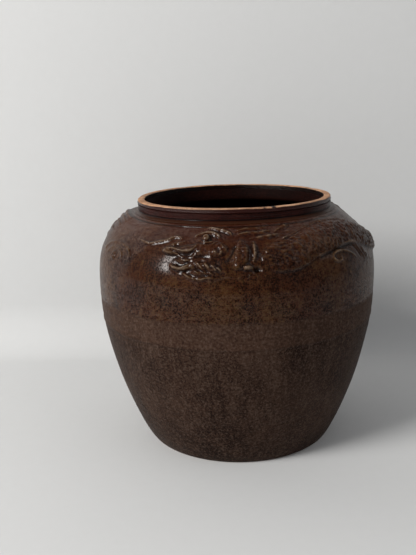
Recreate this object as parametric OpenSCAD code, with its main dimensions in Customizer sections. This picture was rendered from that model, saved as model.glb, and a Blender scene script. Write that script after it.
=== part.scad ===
// Squat wide-mouthed storage jar of glazed stoneware with two moulded dragons on its shoulder.
// Every piece is one that the potter makes and joins to the next with slip.
// Millimetres, +Z up, origin at the middle of the foot, the front towards -Y.

/* [Body] */
// Greatest diameter of the body
body_d = 300; // [262:1:420]
// Height of the greatest diameter above the ground
belly_z = 162; // [110:1:200]
// Height at which the shoulder ends and the neck begins
shoulder_z = 251; // [205:1:330]
// Diameter of the foot on the ground
foot_d = 204; // [150:1:270]
// Fall of the shoulder at the neck, in degrees from level
shoulder_fall = 26; // [12:1:36]
// Height of the foot course, up to its luting joint with the flank course
foot_course_h = 76; // [40:1:84]
// How far below the greatest diameter the flank course ends
seam_fall = 22; // [4:1:24]
// Height of the shoulder course, between two luting joints
shoulder_course_h = 27; // [12:1:30]
// Height of the neck course, from its luting joint up to the neck
neck_course_h = 19; // [13:1:24]

/* [Walls] */
// Thickness of the wall at the foot
wall_foot_t = 10; // [6:0.5:16]
// Thickness of the wall at the neck
wall_neck_t = 8; // [5:0.5:12]
// Thickness of the base disc
base_t = 12; // [6:0.5:20]
// Bevel round the lower edge of the base disc
foot_bevel = 1.5; // [0.5:0.1:3]

/* [Mouth] */
// Diameter of the open mouth
mouth_d = 192; // [120:1:200]
// Width of the collar's wall
collar_w = 6.3; // [4:0.1:12]
// Height of the collar
collar_h = 8; // [7.5:0.1:30]
// Radius of the hollow sweep from the collar to the shoulder
sweep_r = 5.7; // [2:0.1:6]
// Upright edge of the collar's foot under the sweep
collar_edge = 0.8; // [0.4:0.1:1]
// Width of the lip coil
lip_w = 7.5; // [5:0.1:14]
// Height of the lip coil
lip_h = 6; // [5:0.1:14]
// Rounding of the lip coil's upper edges
lip_round = 2.5; // [0.5:0.1:2.5]
// Straight bore in the shoulder under the collar
throat_h = 3.5; // [2:0.1:4.5]
// Width of the turned groove below the collar
groove_w = 2.2; // [1:0.1:3]

/* [Dragons] */
// How far the band of dragons reaches down from the neck
band_h = 66; // [50:1:72]
// How far the dragons' backs stand out from the wall
relief_h = 4; // [2:0.1:6]
// Thickness of the slip between the wall and a sprig
slip_t = 0.2; // [0.1:0.05:0.4]
// Turn of the dragons about the jar, in degrees
dragon_turn = 0; // [-180:1:180]
// How much shorter the rear dragon is than the front one, in degrees
rear_shorter = 15; // [0:1:18]
// Radius of the pellet that makes an eye
eye_r = 3.4; // [1.5:0.1:3.5]

/* [Hidden] */
SPRIGS = ["head", "eye", "brow", "horn", "nostril", "tongue", "jaw", "beard", "whiskers", "mane",
    "cheek", "foreleg", "foreclaws", "chest", "back", "loin", "tail", "ridge", "hindleg",
    "hindclaws", "tail_tuft", "flame", "cloud", "wave", "pearl"];
$fn = 180;

body_r = body_d / 2;
foot_r = foot_d / 2;
bore_r = mouth_d / 2;
collar_r = bore_r + collar_w;
neck_r = collar_r + sweep_r;
curve_n = 24;
course_step = 4;
glaze_brown = [0.27, 0.14, 0.09];
satin_brown = [0.22, 0.13, 0.10];
collar_red = [0.24, 0.09, 0.06];
bare_clay = [0.66, 0.46, 0.31];

// The body's outline, from the neck's foot down to the ground, as two Bezier curves
shoulder_rise = shoulder_z - belly_z;
neck_pull = 0.535 * shoulder_rise;
shoulder_curve = [
    [neck_r, shoulder_z],
    [neck_r + neck_pull * cos(shoulder_fall), shoulder_z - neck_pull * sin(shoulder_fall)],
    [body_r, belly_z + 0.52 * shoulder_rise],
    [body_r, belly_z]
];
foot_pull = 0.1 * belly_z;
flank_curve = [
    [body_r, belly_z],
    [body_r, 0.653 * belly_z],
    [foot_r + foot_pull * sin(45), foot_pull * cos(45)],
    [foot_r, 0]
];
outline = concat(
    [for (i = [0:curve_n]) bezier(shoulder_curve, i / curve_n)],
    [for (i = [1:curve_n]) bezier(flank_curve, i / curve_n)]
);
drops = run_lengths(outline);
total_drop = drops[len(drops) - 1];
radius_by_drop = [for (i = [0:len(drops) - 1]) [drops[i], outline[i][0]]];
height_by_drop = [for (i = [0:len(drops) - 1]) [drops[i], outline[i][1]]];
drop_by_height = [for (i = [0:len(drops) - 1]) [outline[i][1], drops[i]]];
neck_joint_z = shoulder_z - neck_course_h;
neck_joint_drop = lookup(neck_joint_z, drop_by_height);
shoulder_joint_drop = lookup(neck_joint_z - shoulder_course_h, drop_by_height);
seam_drop = lookup(belly_z - seam_fall, drop_by_height);
flank_drop = lookup(foot_course_h, drop_by_height);
base_drop = lookup(base_t, drop_by_height);

// The dragons are drawn on a flat strip: angle from the front in degrees, drop from the neck in
// millimetres, half width of the stroke in millimetres, and height as a share of relief_h
strip_band_h = 66;
mm_per_deg = 2.3;
band_scale = band_h / strip_band_h;
tail_from = 52;
tail_reach = 46;
body_stroke = [
    [9.8, 42, 4, 0.3], [11.8, 42.4, 11, 0.7], [15.5, 42.8, 14.2, 0.92], [22, 41, 15.5, 1],
    [30, 33.5, 15, 1], [38, 27.8, 15, 1], [46, 26, 15, 1], [53, 26.6, 15, 1], [60, 30.6, 14.5, 1],
    [66, 36.5, 13.5, 0.97], [72, 43, 12.6, 0.94], [78, 49, 11.8, 0.9], [85, 52.5, 10.8, 0.88],
    [91.5, 50.5, 9.6, 0.88], [97, 43, 8, 0.88], [101, 34, 6.4, 0.9], [104.6, 27, 4.4, 0.85],
    [106.6, 23.6, 1.8, 0.5]
];
joint_gap = 0.025;
chest_end = 5;
back_end = 9;
loin_end = 13;
tail_end = len(body_stroke) - 1;
ridge_stroke = [for (t = [3:11]) beside(body_stroke, t, -1.7, 1, 0.4)];
head_stroke = [
    [-3, 33.2, 3, 0.5], [-6.5, 33, 7.6, 0.95], [-12, 33.3, 7.6, 1.15], [-17, 35, 5.8, 1.1],
    [-22, 36.3, 4.2, 1.05], [-26.5, 36.2, 3.6, 1], [-29, 36.8, 1.2, 0.6]
];
eye_place = [-12, 21.6];
eye_share = 1.1;

brow_stroke = [
    [-17.2, 20, 0.7, 0.4], [-15.2, 16.8, 1.3, 0.7], [-12, 15, 1.6, 0.85], [-8.6, 16.2, 1.9, 0.9],
    [-6.8, 19.4, 2, 0.85], [-6, 22.4, 1, 0.5]
];
horn_stroke = [
    [-13, 7.2, 0.6, 0.35], [-9.5, 8.8, 1.5, 0.7], [-5.5, 11.4, 1.7, 0.8], [-2.2, 14.8, 1.5, 0.7],
    [-1.4, 17.8, 0.7, 0.4]
];
nostril_stroke = [[-26.8, 30.4, 0.5, 0.3], [-25.7, 30, 1.3, 0.55], [-24.4, 30.3, 0.5, 0.3]];
tongue_stroke = [
    [-10.5, 44.2, 0.5, 0.3], [-14, 43.6, 1, 0.45], [-18, 44.6, 1.4, 0.6], [-21, 45, 1.3, 0.55],
    [-22.8, 45, 0.5, 0.3]
];
jaw_stroke = [
    [-5, 52.6, 1.6, 0.5], [-8, 51, 3.6, 0.85], [-12.5, 49.2, 3.2, 0.95], [-16.5, 50.4, 2.7, 0.95],
    [-20, 52.6, 2, 0.9], [-23, 51.6, 1.4, 0.7], [-24.4, 49.6, 0.6, 0.4]
];
beard_strokes = [
    [[-7.6, 56.6, 0.6, 0.3], [-10, 55.6, 1.3, 0.45], [-13, 55.4, 1.3, 0.45], [-16, 55, 0.6, 0.3]],
    [[-7, 58.6, 0.6, 0.3], [-10, 60, 1.3, 0.5], [-13, 61, 1.4, 0.55], [-16.5, 59.4, 1.2, 0.5],
        [-19.4, 56.6, 0.6, 0.3]]
];
whisker_strokes = [
    [[-22.6, 22.6, 0.5, 0.3], [-24, 20.6, 1, 0.4], [-26.6, 21.4, 1.2, 0.5], [-29, 25, 1.3, 0.5],
        [-33, 28.2, 1.3, 0.5], [-37, 31, 1.2, 0.45], [-41, 29.6, 1.1, 0.4], [-45.4, 27.6, 0.6, 0.25]],
    [[-20.8, 24.6, 0.5, 0.3], [-22.2, 26.8, 0.9, 0.4], [-24.4, 28, 0.9, 0.4], [-26.4, 28.8, 0.5, 0.25]]
];
mane_strokes = [
    [[1, 10.5, 0.7, 0.3], [5, 9.2, 1.5, 0.5], [10, 8.8, 1.6, 0.5], [15, 7.4, 0.6, 0.25]],
    [[1, 16.5, 0.8, 0.3], [5, 15, 1.8, 0.55], [11, 14.5, 1.9, 0.55], [16, 12.4, 0.7, 0.3]],
    [[6, 21.8, 0.7, 0.3], [9.5, 20.6, 1.8, 0.55], [14.5, 20.4, 1.8, 0.55], [19.5, 17.8, 0.7, 0.3]]
];
cheek_stroke = [
    [2.2, 23.5, 1.2, 0.35], [2.4, 28, 4.4, 0.6], [2.5, 35, 6.2, 0.75], [2, 43, 6.6, 0.8],
    [0.8, 49, 3.8, 0.6], [0, 53.4, 1.2, 0.35]
];
foreleg_strokes = [
    [[7.2, 25, 0.9, 0.35], [7.4, 31, 1.6, 0.55], [7.4, 38, 1.8, 0.65], [7, 43, 1.6, 0.6],
        [6.4, 46.6, 0.9, 0.4]],
    [[2.6, 51.4, 0.8, 0.4], [3.6, 51, 2, 0.8], [5, 51.2, 2, 0.85], [6.2, 52, 0.8, 0.4]]
];
foreclaw_strokes = [
    [[3, 56.4, 0.6, 0.25], [1.6, 59, 0.9, 0.32], [-0.4, 60.6, 0.4, 0.2]],
    [[5, 56.8, 0.6, 0.25], [4.6, 60, 0.9, 0.32], [3.2, 62.6, 0.4, 0.2]],
    [[7, 56.8, 0.6, 0.25], [7.6, 60, 0.9, 0.32], [7, 63, 0.4, 0.2]]
];
hindleg_stroke = [
    [60.2, 49.6, 1.2, 0.35], [61, 52.6, 3, 0.55], [62.6, 57.6, 2.9, 0.55], [64.4, 61.8, 1.9, 0.45],
    [65.2, 63.8, 0.8, 0.3]
];
hindclaw_strokes = [
    [[62, 63.4, 0.5, 0.25], [60.6, 65, 0.8, 0.3], [59, 66, 0.4, 0.2]],
    [[64.2, 66, 0.5, 0.25], [63.6, 67.6, 0.8, 0.3], [62.4, 69, 0.4, 0.2]],
    [[67, 63.6, 0.5, 0.25], [68.4, 65.4, 0.8, 0.3], [69, 67.4, 0.4, 0.2]]
];
tuft_strokes = [
    [[96.6, 15.6, 0.8, 0.5], [98.6, 11.2, 2.4, 0.9], [102.5, 8.8, 2.8, 0.95], [108, 7.8, 2, 0.75],
        [117, 7.4, 1.3, 0.45], [127.5, 7.4, 0.6, 0.25]],
    [[98.4, 24, 0.8, 0.5], [99.8, 19, 2.6, 0.9], [103.6, 15.2, 2.8, 0.95], [109.5, 13, 2, 0.7],
        [118, 11.8, 1.4, 0.5], [126.4, 13.6, 0.6, 0.25]],
    [[107.2, 19.4, 0.8, 0.4], [110, 18.8, 1.8, 0.7], [114, 18.2, 1.8, 0.6], [119, 18.2, 1.4, 0.5],
        [124.4, 19.6, 0.6, 0.25]],
    [[108.4, 29.6, 0.8, 0.4], [110.8, 27.6, 1.9, 0.6], [114.6, 26.8, 1.6, 0.5], [119, 28, 0.6, 0.25]],
    [[104, 40.8, 0.8, 0.4], [106.6, 38.2, 1.8, 0.6], [109.4, 39.6, 0.6, 0.25]]
];
flame_stroke = [[17.6, 14.6, 0.7, 0.3], [20, 12, 1.7, 0.5], [23, 9.2, 2, 0.55], [26.5, 7.6, 0.8, 0.3]];
cloud_stroke = [
    [54, 56.4, 0.7, 0.3], [51, 51.4, 1.2, 0.4], [47.2, 47.2, 1.3, 0.45], [42.8, 45.8, 1.3, 0.45],
    [40, 48.6, 1.2, 0.45], [40.2, 53, 1.2, 0.45], [42.5, 55.2, 1.1, 0.4], [44.4, 53.4, 1, 0.4],
    [43.7, 51.1, 0.6, 0.3]
];
wave_strokes = [
    [[-69, 49, 0.8, 0.3], [-67.4, 43, 1.7, 0.45], [-63.5, 38.5, 1.8, 0.45], [-58, 36.6, 1.8, 0.45],
        [-52, 37.3, 1.8, 0.45], [-47.6, 40.6, 1.6, 0.4], [-45.8, 45.5, 0.7, 0.3]],
    [[-64.6, 50.5, 0.7, 0.3], [-63, 45.8, 1.4, 0.4], [-59.6, 42.9, 1.5, 0.4], [-55.5, 42.6, 1.5, 0.4],
        [-52, 45.2, 1.3, 0.4], [-50.8, 49.6, 0.6, 0.3]]
];
pearl_stroke = [
    [-59.4, 50.5, 0.8, 0.3], [-58.6, 50.5, 3.4, 0.7], [-57.5, 50.5, 4.2, 0.8], [-56.4, 50.5, 3.4, 0.7],
    [-55.6, 50.5, 0.8, 0.3]
];

// Point of a cubic Bezier curve
function bezier(p, t) =
    let (u = 1 - t)
    u * u * u * p[0] + 3 * u * u * t * p[1] + 3 * u * t * t * p[2] + t * t * t * p[3];

// Distance along a chain of points, point by point
function run_lengths(p) = [
    for (i = 0, d = 0; i < len(p); i = i + 1, d = d + (i < len(p) ? norm(p[i] - p[i - 1]) : 0)) d
];

// Radius and height of the outer surface at a drop from the neck
function at_drop(s) = [lookup(s, radius_by_drop), lookup(s, height_by_drop)];

// Outward normal there, in the radius and height plane
function normal_at(s) =
    let (d = at_drop(s + 0.5) - at_drop(s - 0.5), l = norm(d))
    [-d[1] / l, d[0] / l];

// Wall thickness there, and the inner surface behind it
function wall_at(s) = wall_neck_t + (wall_foot_t - wall_neck_t) * s / total_drop;
function inner_at(s) = at_drop(s) - wall_at(s) * normal_at(s);

// Angle on a dragon whose hind part is drawn shorter
function shorter(a, by) = a - by * min(1, max(0, (a - tail_from) / tail_reach));

// Point at a height over the outer surface, for an angle and a drop on the strip
function on_wall(a, s, h, by) =
    let (d = s * band_scale, p = at_drop(d) + h * normal_at(d), b = shorter(a, by))
    [p[0] * sin(b), -p[0] * cos(b), p[1]];

// Smooth curve through a stroke's points, and the way square to it in the strip's millimetres
function smooth(p, t) =
    let (n = len(p) - 1, i = min(floor(t), n - 1), f = t - i,
        a = p[max(i - 1, 0)], b = p[i], c = p[i + 1], d = p[min(i + 2, n)])
    0.5 * (2 * b + (c - a) * f + (2 * a - 5 * b + 4 * c - d) * f * f + (3 * b - a - 3 * c + d) * f * f * f);
function square_to(p, t) =
    let (n = len(p) - 1, d = smooth(p, min(t + 0.05, n)) - smooth(p, max(t - 0.05, 0)),
        x = d[0] * mm_per_deg, l = norm([x, d[1]]))
    [-d[1] / l, x / l];

// Point beside a stroke: off is millimetres past its edge, negative for the upper edge
function beside(p, t, off, w, h) =
    let (c = smooth(p, t), q = square_to(p, t), k = sign(off) * c[2] + off)
    [c[0] + k * q[0] / mm_per_deg, c[1] + k * q[1], w, h];

// Rounded cross-section of a stroke, and one ring of its surface on the wall
function crown(u) = pow(1 - u * u, 0.4);
function ring(p, t, across, by) =
    let (c = smooth(p, t), q = square_to(p, t))
    concat(
        [for (i = [0:across - 1]) let (u = -1 + 2 * i / (across - 1), k = u * c[2])
            on_wall(c[0] + k * q[0] / mm_per_deg, c[1] + k * q[1], slip_t, by)],
        [for (i = [across - 1:-1:0]) let (u = 0.86 * (-1 + 2 * i / (across - 1)), k = u * c[2])
            on_wall(c[0] + k * q[0] / mm_per_deg, c[1] + k * q[1], slip_t + relief_h * c[3] * crown(u), by)]
    );

// Faces of a closed tube of m rings with n points each
function tube_faces(m, n) = concat(
    [for (j = [0:m - 2], i = [0:n - 1]) let (k = (i + 1) % n) [j * n + i, j * n + k, (j + 1) * n + k]],
    [for (j = [0:m - 2], i = [0:n - 1]) let (k = (i + 1) % n) [j * n + i, (j + 1) * n + k, (j + 1) * n + i]],
    [for (i = [1:n - 2]) [0, i + 1, i]],
    [for (i = [1:n - 2]) [(m - 1) * n, (m - 1) * n + i, (m - 1) * n + i + 1]]
);

// A sprig: clay pressed on the wall along a stroke, from one place on it to another
module sprig(p, by, from = 0, to = -1, across = 3, steps = 2) {
    last = to < 0 ? len(p) - 1 : to;
    m = max(3, ceil((last - from) * steps) + 1);
    rings = [for (j = [0:m - 1]) ring(p, from + (last - from) * j / (m - 1), across, by)];
    polyhedron(points = [for (r = rings) each r], faces = tube_faces(m, 2 * across));
}

module sprigs(strokes, by) {
    for (p = strokes) sprig(p, by);
}

// Domed pellet of clay pressed on the wall
module eye_pellet() {
    n = 10;
    drop = eye_place[1] * band_scale;
    out = normal_at(drop);
    dome = 0.5 * eye_r;
    tall = eye_share * relief_h;
    rotate([0, 0, eye_place[0]])
    translate([0, -at_drop(drop)[0], at_drop(drop)[1]])
    rotate([atan2(out[0], out[1]), 0, 0])
    translate([0, 0, slip_t])
    rotate_extrude($fn = 48)
    polygon(concat(
        [[0, 0], [eye_r, 0]],
        [for (i = [0:n]) [eye_r * cos(90 * i / n), tall - dome + dome * sin(90 * i / n)]]
    ));
}

// One dragon's sprigs, by name
module dragon(name, by) {
    color(glaze_brown) {
        if (name == "head") sprig(head_stroke, by, across = 5, steps = 3);
        if (name == "eye") eye_pellet();
        if (name == "brow") sprig(brow_stroke, by);
        if (name == "horn") sprig(horn_stroke, by);
        if (name == "nostril") sprig(nostril_stroke, by);
        if (name == "tongue") sprig(tongue_stroke, by);
        if (name == "jaw") sprig(jaw_stroke, by, across = 5, steps = 3);
        if (name == "beard") sprigs(beard_strokes, by);
        if (name == "whiskers") sprigs(whisker_strokes, by);
        if (name == "mane") sprigs(mane_strokes, by);
        if (name == "cheek") sprig(cheek_stroke, by, across = 5, steps = 3);
        if (name == "foreleg") sprigs(foreleg_strokes, by);
        if (name == "foreclaws") sprigs(foreclaw_strokes, by);
        if (name == "chest") sprig(body_stroke, by, 0, chest_end - joint_gap, across = 7, steps = 4);
        if (name == "back") sprig(body_stroke, by, chest_end, back_end - joint_gap, across = 7, steps = 4);
        if (name == "loin") sprig(body_stroke, by, back_end, loin_end - joint_gap, across = 7, steps = 4);
        if (name == "tail") sprig(body_stroke, by, loin_end, tail_end, across = 7, steps = 4);
        if (name == "ridge") sprig(ridge_stroke, by);
        if (name == "hindleg") sprig(hindleg_stroke, by);
        if (name == "hindclaws") sprigs(hindclaw_strokes, by);
        if (name == "tail_tuft") sprigs(tuft_strokes, by);
        if (name == "flame") sprig(flame_stroke, by);
        if (name == "cloud") sprig(cloud_stroke, by);
        if (name == "wave") sprigs(wave_strokes, by);
        if (name == "pearl") sprig(pearl_stroke, by, across = 5);
    }
}

module front_dragon(name) {
    rotate([0, 0, dragon_turn]) dragon(name, 0);
}

module rear_dragon(name) {
    rotate([0, 0, dragon_turn + 180]) dragon(name, rear_shorter);
}

// Flat disc that the jar stands on, beaten out and bevelled round its lower edge
module base_disc() {
    n = 4;
    color(bare_clay)
    rotate_extrude()
    polygon(concat(
        [[0, 0], [foot_r - foot_bevel, 0]],
        [for (i = [0:n]) at_drop(total_drop - foot_bevel + (base_drop - total_drop + foot_bevel) * i / n)],
        [[0, base_t]]
    ));
}

// Outer and inner points of the wall between two drops from the neck
function outer_points(top, low) =
    let (n = ceil((low - top) / course_step))
    [for (i = [0:n]) at_drop(top + (low - top) * i / n)];
function inner_points(top, low) =
    let (n = ceil((low - top) / course_step))
    [for (i = [n:-1:0]) inner_at(top + (low - top) * i / n)];

// One coiled and thrown course of the wall between two luting joints
module course(top, low) {
    rotate_extrude() polygon(concat(outer_points(top, low), inner_points(top, low)));
}

// Lowest course, standing on the base disc
module foot_course() {
    inner = inner_points(flank_drop, total_drop);
    inner_radius = [for (p = inner) [p[1], p[0]]];
    color(satin_brown)
    rotate_extrude()
    polygon(concat(
        outer_points(flank_drop, base_drop),
        [[lookup(base_t, inner_radius), base_t]],
        [for (p = inner) if (p[1] > base_t + 1) p]
    ));
}

module flank_course() {
    color(satin_brown) course(seam_drop, flank_drop);
}

module belly_course() {
    color(glaze_brown) course(shoulder_joint_drop, seam_drop);
}

module shoulder_course() {
    color(glaze_brown) course(neck_joint_drop, shoulder_joint_drop);
}

// Highest course, with the land that carries the collar and the turned groove round it
module neck_course() {
    groove_drop = 2 * groove_w;
    color(glaze_brown)
    rotate_extrude()
    difference() {
        polygon(concat(
            [[bore_r, shoulder_z]],
            outer_points(0, neck_joint_drop),
            inner_points(0, neck_joint_drop),
            [[bore_r + 0.6 * throat_h, shoulder_z - throat_h - 0.25 * wall_neck_t],
                [bore_r, shoulder_z - throat_h]]
        ));
        translate(at_drop(groove_drop) + 0.3 * groove_w * normal_at(groove_drop))
        circle(d = groove_w, $fn = 24);
    }
}

// Short upright collar round the mouth, swept out to the shoulder at its foot
module neck_collar() {
    n = 10;
    color(collar_red)
    rotate_extrude()
    polygon(concat(
        [[bore_r, shoulder_z], [neck_r, shoulder_z]],
        [for (i = [0:n]) [
            neck_r - sweep_r * sin(90 * i / n),
            shoulder_z + collar_edge + sweep_r * (1 - cos(90 * i / n))
        ]],
        [[collar_r, shoulder_z + collar_h], [bore_r, shoulder_z + collar_h]]
    ));
}

// Coil of bare clay that forms the lip
module lip_coil() {
    n = 8;
    low = shoulder_z + collar_h;
    top = low + lip_h;
    out = bore_r + lip_w;
    under = 0.6 * lip_round;
    color(bare_clay)
    rotate_extrude()
    polygon(concat(
        [[bore_r, low], [out - under, low]],
        [for (i = [1:n]) [out - under * (1 - sin(90 * i / n)), low + under * (1 - cos(90 * i / n))]],
        [for (i = [0:n]) [out - lip_round * (1 - cos(90 * i / n)), top - lip_round * (1 - sin(90 * i / n))]],
        [for (i = [0:n]) [bore_r + lip_round * (1 - sin(90 * i / n)), top - lip_round * (1 - cos(90 * i / n))]]
    ));
}

base_disc();
foot_course();
flank_course();
belly_course();
shoulder_course();
neck_course();
neck_collar();
lip_coil();
for (s = SPRIGS) front_dragon(s);
for (s = SPRIGS) rear_dragon(s);
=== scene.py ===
import math
import bpy
import numpy as np
from mathutils import Matrix, Vector


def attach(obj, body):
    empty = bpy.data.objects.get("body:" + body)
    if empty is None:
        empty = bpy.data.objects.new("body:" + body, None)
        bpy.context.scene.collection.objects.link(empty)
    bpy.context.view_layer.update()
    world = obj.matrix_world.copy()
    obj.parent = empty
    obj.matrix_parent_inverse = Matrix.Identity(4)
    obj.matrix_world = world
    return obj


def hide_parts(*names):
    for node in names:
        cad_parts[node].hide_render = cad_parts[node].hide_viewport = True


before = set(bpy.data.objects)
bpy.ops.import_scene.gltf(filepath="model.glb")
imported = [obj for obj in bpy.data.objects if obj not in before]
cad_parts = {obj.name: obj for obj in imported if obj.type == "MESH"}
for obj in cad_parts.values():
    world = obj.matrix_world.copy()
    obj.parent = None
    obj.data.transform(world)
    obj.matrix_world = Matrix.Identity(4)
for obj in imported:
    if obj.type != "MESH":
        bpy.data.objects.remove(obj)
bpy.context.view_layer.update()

rng = np.random.default_rng(41)

# the potter's template: the outline in millimetres, as the construction has it
jar = dict(
    bodyR=150.0, bellyZ=162.0, shoulderZ=251.0, footR=102.0, neckR=108.0, shoulderFall=26.0,
    boreR=96.0, collarR=102.3, collarH=8.0, sweepR=5.7, collarEdge=0.8, throatH=3.5,
    lipW=7.5, lipH=6.0, neckT=8.0, footT=10.0, baseT=12.0, bevel=1.5,
    joints=(76.0, 140.0, 205.0, 232.0),
)
columns = 720           # points round the jar


def bezier(p, n):
    p = np.array(p, float)
    t = np.linspace(0, 1, n)[:, None]
    return (1 - t)**3*p[0] + 3*(1 - t)**2*t*p[1] + 3*(1 - t)*t*t*p[2] + t**3*p[3]


def jarOutline():
    j = jar
    rise = j["shoulderZ"] - j["bellyZ"]
    pull, fall = 0.535*rise, math.radians(j["shoulderFall"])
    foot = 0.1*j["bellyZ"]*math.sqrt(0.5)
    shoulder = bezier([(j["neckR"], j["shoulderZ"]),
                       (j["neckR"] + pull*math.cos(fall), j["shoulderZ"] - pull*math.sin(fall)),
                       (j["bodyR"], j["bellyZ"] + 0.52*rise), (j["bodyR"], j["bellyZ"])], 500)
    flank = bezier([(j["bodyR"], j["bellyZ"]), (j["bodyR"], 0.653*j["bellyZ"]),
                    (j["footR"] + foot, foot), (j["footR"], 0)], 700)
    return np.vstack([shoulder, flank[1:]])


outline = jarOutline()
dropTable = np.concatenate([[0], np.cumsum(np.hypot(*np.diff(outline, axis=0).T))])
tangent = np.gradient(outline, dropTable, axis=0)
tangent /= np.hypot(tangent[:, 0], tangent[:, 1])[:, None]
totalDrop = dropTable[-1]


def lookup(s, column):
    return np.interp(s, dropTable, column)


def dropOfHeight(z):
    return float(np.interp(-z, -outline[:, 1], dropTable))


def wallThickness(s):
    return jar["neckT"] + (jar["footT"] - jar["neckT"])*s/totalDrop


def onWall(a, s, h):
    # point over the outer wall, in metres: angle from the front, drop from the neck, height
    r = lookup(s, outline[:, 0]) - h*lookup(s, tangent[:, 1])
    z = lookup(s, outline[:, 1]) + h*lookup(s, tangent[:, 0])
    a = np.radians(a)
    return np.stack([r*np.sin(a), -r*np.cos(a), z], -1)*0.001


# hand unevenness of the wall, shared by the courses and by what is pressed on them
hand = dict(oval=0.45, lumps=0.55, rings=0.09, lowerRings=0.05, flat=2.4, full=3.3, rimTilt=0.6)
waveCount = 26
waveDir = rng.normal(size=(waveCount, 3))
waveDir /= np.linalg.norm(waveDir, axis=1)[:, None]
waveLength = rng.uniform(34, 120, waveCount)
wavePhase = rng.uniform(0, 2*math.pi, waveCount)


def lumps(a, s):
    p = onWall(a, s, 0)*1000
    total = np.zeros(np.broadcast(a, s).shape)
    for k in range(waveCount):
        total += np.cos(p @ waveDir[k]*2*math.pi/waveLength[k] + wavePhase[k])
    return total/math.sqrt(waveCount)


def unevenness(a, s):
    rad = np.radians(a)
    z = lookup(s, outline[:, 1])
    low = np.clip((150 - z)/40, 0, 1)
    fade = np.clip(z/14, 0, 1)*np.clip(s/8, 0, 1)
    rings = hand["rings"] + (hand["lowerRings"] - hand["rings"])*low
    turning = np.sin(2*math.pi*s/8.3 + 0.9*np.sin(rad + 0.7) + 0.6*np.sin(s/31))
    finer = 0.45*np.sin(2*math.pi*s/3.7 + 1.3*np.sin(rad*2 + 1.9))
    strength = 0.6 + 0.4*np.sin(s/17 + 1.3*np.cos(rad + 0.4))
    body = hand["oval"]*np.cos(2*rad + 0.8) + hand["lumps"]*0.5*lumps(a, s)
    seam = 0.5*np.exp(-((z - jar["joints"][1])/1.6)**2) - 0.25*np.exp(-((z - jar["joints"][1] + 4)/2.2)**2)
    glazeEdge = 0.22/(1 + np.exp(-(z - 165.3 - 0.8*np.sin(rad*5 + 1) - 0.5*np.sin(rad*11))/0.5))
    side = np.mod(a + 180, 360) - 180
    groove = -1.25*np.exp(-((s - 4.4)/0.8)**2)*(1 - 0.9*np.exp(-((side + 90)/38)**2))
    groove = groove*(1 - 0.8*np.clip((side - 18)/26, 0, 1)*np.clip((170 - side)/20, 0, 1))
    # the right shoulder was pressed a little flat, and the left one stands full up to the collar
    pressed = hand["flat"]*np.exp(-((side - 94)/20)**2)*np.clip((s - 4)/16, 0, 1)*np.clip((58 - s)/20, 0, 1)
    full = hand["full"]*np.exp(-((side + 90)/24)**4)*np.clip(s/5, 0, 1)*np.clip((44 - s)/34, 0, 1)
    return (body + rings*strength*(turning + finer) + seam - pressed)*fade + glazeEdge*fade + groove + full


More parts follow.
